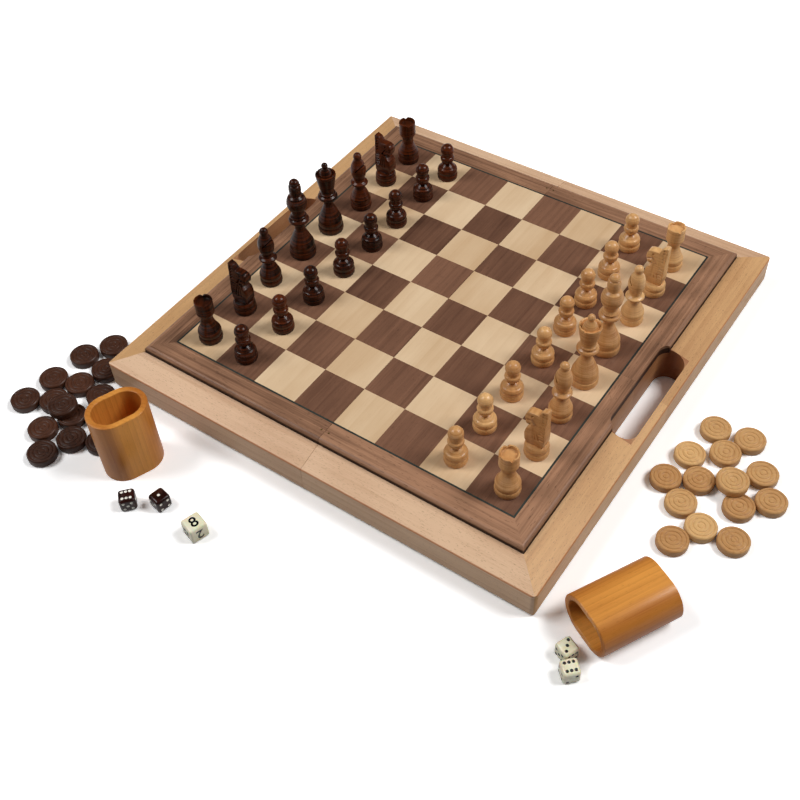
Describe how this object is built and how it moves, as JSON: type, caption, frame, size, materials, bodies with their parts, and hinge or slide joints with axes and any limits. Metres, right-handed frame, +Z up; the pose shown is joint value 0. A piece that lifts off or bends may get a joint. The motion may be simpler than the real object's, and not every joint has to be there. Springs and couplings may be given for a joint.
{
  "type": "folding games compendium box",
  "caption": "Folding wooden games case, open as a chessboard: hinged tray halves with handle slots, chessmen, draughtsmen, dice cups, dice and a doubling cube.",
  "frame": {"origin": "on the hinge axis, half way along it, in the plane of the closing rims", "axes": "+X to the light side, +Y along the hinge line away from the front, +Z up to the playing surface"},
  "size_m": [0.5368, 0.4731, 0.1101],
  "materials": {
    "beech": "satin",
    "plywood": "matte",
    "walnut": "satin",
    "steel": "satin",
    "stringing": "satin",
    "maple_veneer": "satin",
    "walnut_veneer": "satin",
    "lining_veneer": "satin",
    "brass": "satin",
    "magnet_nickel": "polished",
    "felt": "matte",
    "dark_stained_wood": "gloss",
    "boxwood": "satin",
    "dark_checker_wood": "satin",
    "light_checker_wood": "satin",
    "cup_wood": "gloss",
    "dark_resin": "gloss",
    "ivory_resin": "satin"
  },
  "bodies": {
    "west_half": {"west_handle_rail": "beech", "west_near_rail": "beech", "west_far_rail": "beech", "west_spine_rail": "beech", "west_core_panel": "plywood", "west_side_border": "walnut", "west_near_border": "walnut", "west_far_border": "walnut", "west_border_brads": "steel", "west_stringing": "stringing", "west_maple_squares": "maple_veneer", "west_walnut_squares": "walnut_veneer", "west_tray_lining": "lining_veneer", "west_light_points": "maple_veneer", "west_dark_points": "walnut_veneer", "west_hinge_leaves": "brass", "west_hinge_screws": "brass", "west_magnets": "magnet_nickel", "west_felt_pads": "felt", "hinge_pins": "steel"},
    "east_half": {"east_handle_rail": "beech", "east_near_rail": "beech", "east_far_rail": "beech", "east_spine_rail": "beech", "east_core_panel": "plywood", "east_side_border": "walnut", "east_near_border": "walnut", "east_far_border": "walnut", "east_border_brads": "steel", "east_stringing": "stringing", "east_maple_squares": "maple_veneer", "east_walnut_squares": "walnut_veneer", "east_tray_lining": "lining_veneer", "east_light_points": "maple_veneer", "east_dark_points": "walnut_veneer", "east_hinge_leaves": "brass", "east_hinge_screws": "brass", "east_magnets": "magnet_nickel", "east_felt_pads": "felt"},
    "dark_king": {"dark_king": "dark_stained_wood"},
    "dark_queen": {"dark_queen": "dark_stained_wood"},
    "dark_bishops": {"dark_bishops": "dark_stained_wood"},
    "dark_knights": {"dark_knights": "dark_stained_wood"},
    "dark_rooks": {"dark_rooks": "dark_stained_wood"},
    "dark_pawns": {"dark_pawns": "dark_stained_wood"},
    "light_king": {"light_king": "boxwood"},
    "light_queen": {"light_queen": "boxwood"},
    "light_bishops": {"light_bishops": "boxwood"},
    "light_knights": {"light_knights": "boxwood"},
    "light_rooks": {"light_rooks": "boxwood"},
    "light_pawns": {"light_pawns": "boxwood"},
    "dark_checkers": {"dark_checkers": "dark_checker_wood"},
    "light_checkers": {"light_checkers": "light_checker_wood"},
    "upright_dice_cup": {"upright_dice_cup": "cup_wood"},
    "lying_dice_cup": {"lying_dice_cup": "cup_wood"},
    "dark_dice": {"dark_dice": "dark_resin"},
    "light_dice": {"light_dice": "ivory_resin"},
    "doubling_cube": {"doubling_cube": "ivory_resin"}
  },
  "joints": [
    {"name": "board_fold", "type": "hinge", "parent": "west_half", "child": "east_half", "pos_m": [0, 0, 0], "axis": [0, 1, 0], "range_deg": [0, 178.9]},
    {"name": "dark_king_lift", "type": "slide", "parent": "west_half", "child": "dark_king", "axis": [0, 0, 1], "range_m": [0, 0.08]},
    {"name": "dark_queen_lift", "type": "slide", "parent": "west_half", "child": "dark_queen", "axis": [0, 0, 1], "range_m": [0, 0.08]},
    {"name": "dark_bishops_lift", "type": "slide", "parent": "west_half", "child": "dark_bishops", "axis": [0, 0, 1], "range_m": [0, 0.08]},
    {"name": "dark_knights_lift", "type": "slide", "parent": "west_half", "child": "dark_knights", "axis": [0, 0, 1], "range_m": [0, 0.08]},
    {"name": "dark_rooks_lift", "type": "slide", "parent": "west_half", "child": "dark_rooks", "axis": [0, 0, 1], "range_m": [0, 0.08]},
    {"name": "dark_pawns_lift", "type": "slide", "parent": "west_half", "child": "dark_pawns", "axis": [0, 0, 1], "range_m": [0, 0.08]},
    {"name": "light_king_lift", "type": "slide", "parent": "east_half", "child": "light_king", "axis": [0, 0, 1], "range_m": [0, 0.08]},
    {"name": "light_queen_lift", "type": "slide", "parent": "east_half", "child": "light_queen", "axis": [0, 0, 1], "range_m": [0, 0.08]},
    {"name": "light_bishops_lift", "type": "slide", "parent": "east_half", "child": "light_bishops", "axis": [0, 0, 1], "range_m": [0, 0.08]},
    {"name": "light_knights_lift", "type": "slide", "parent": "east_half", "child": "light_knights", "axis": [0, 0, 1], "range_m": [0, 0.08]},
    {"name": "light_rooks_lift", "type": "slide", "parent": "east_half", "child": "light_rooks", "axis": [0, 0, 1], "range_m": [0, 0.08]},
    {"name": "light_pawns_lift", "type": "slide", "parent": "east_half", "child": "light_pawns", "axis": [0, 0, 1], "range_m": [0, 0.08]},
    {"name": "dark_checkers_lift", "type": "slide", "parent": "west_half", "child": "dark_checkers", "axis": [0, 0, 1], "range_m": [0, 0.03]},
    {"name": "light_checkers_lift", "type": "slide", "parent": "west_half", "child": "light_checkers", "axis": [0, 0, 1], "range_m": [0, 0.03]},
    {"name": "upright_dice_cup_lift", "type": "slide", "parent": "west_half", "child": "upright_dice_cup", "axis": [0, 0, 1], "range_m": [0, 0.08]},
    {"name": "lying_dice_cup_lift", "type": "slide", "parent": "west_half", "child": "lying_dice_cup", "axis": [0, 0, 1], "range_m": [0, 0.05]},
    {"name": "dark_dice_lift", "type": "slide", "parent": "west_half", "child": "dark_dice", "axis": [0, 0, 1], "range_m": [0, 0.03]},
    {"name": "light_dice_lift", "type": "slide", "parent": "west_half", "child": "light_dice", "axis": [0, 0, 1], "range_m": [0, 0.03]},
    {"name": "doubling_cube_lift", "type": "slide", "parent": "west_half", "child": "doubling_cube", "axis": [0, 0, 1], "range_m": [0, 0.03]}
  ]
}
